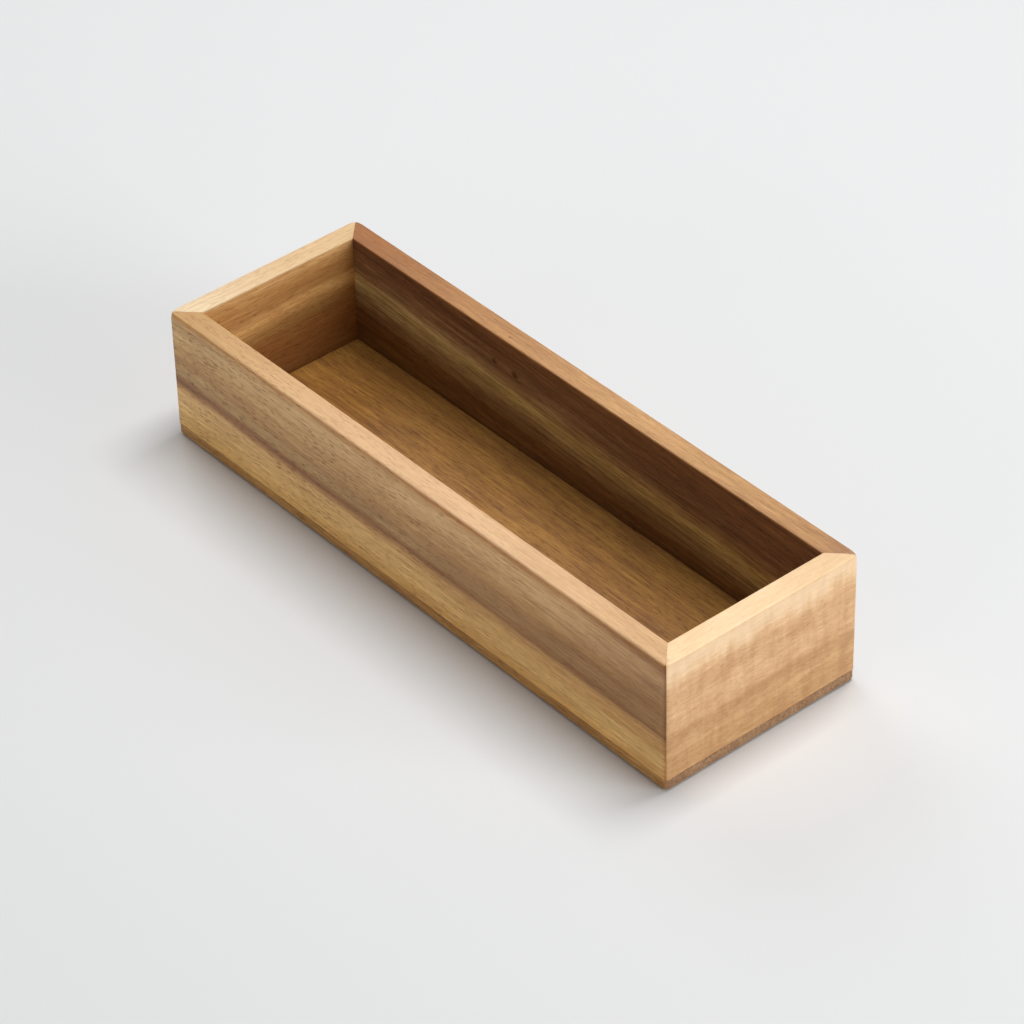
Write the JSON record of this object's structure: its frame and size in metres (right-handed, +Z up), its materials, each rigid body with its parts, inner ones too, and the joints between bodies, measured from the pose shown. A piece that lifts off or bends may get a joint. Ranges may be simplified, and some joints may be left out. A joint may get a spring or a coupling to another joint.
{
  "type": "drawer organizer",
  "caption": "Narrow open-top wooden tray with mitred walls on a rebated base board, for keeping utensils together in a drawer.",
  "frame": {"origin": "middle of the underside of the base board, on the surface that the tray stands on", "axes": "+X along the tray, +Y across it towards the back side wall, +Z up through the open top"},
  "size_m": [0.254, 0.0826, 0.0522],
  "materials": {
    "wall_wood": "acacia, planed, sanded and oiled, satin",
    "base_wood": "acacia, sanded and oiled, satin, a darker board",
    "spline_wood": "plain sawn hardwood strip, unfinished"
  },
  "bodies": {
    "root": {"front_side_wall": "wall_wood", "back_side_wall": "wall_wood", "left_end_wall": "wall_wood", "right_end_wall": "wall_wood", "base_panel": "base_wood", "mitre_spline_front_left": "spline_wood", "mitre_spline_front_right": "spline_wood", "mitre_spline_back_left": "spline_wood", "mitre_spline_back_right": "spline_wood"}
  },
  "joints": []
}
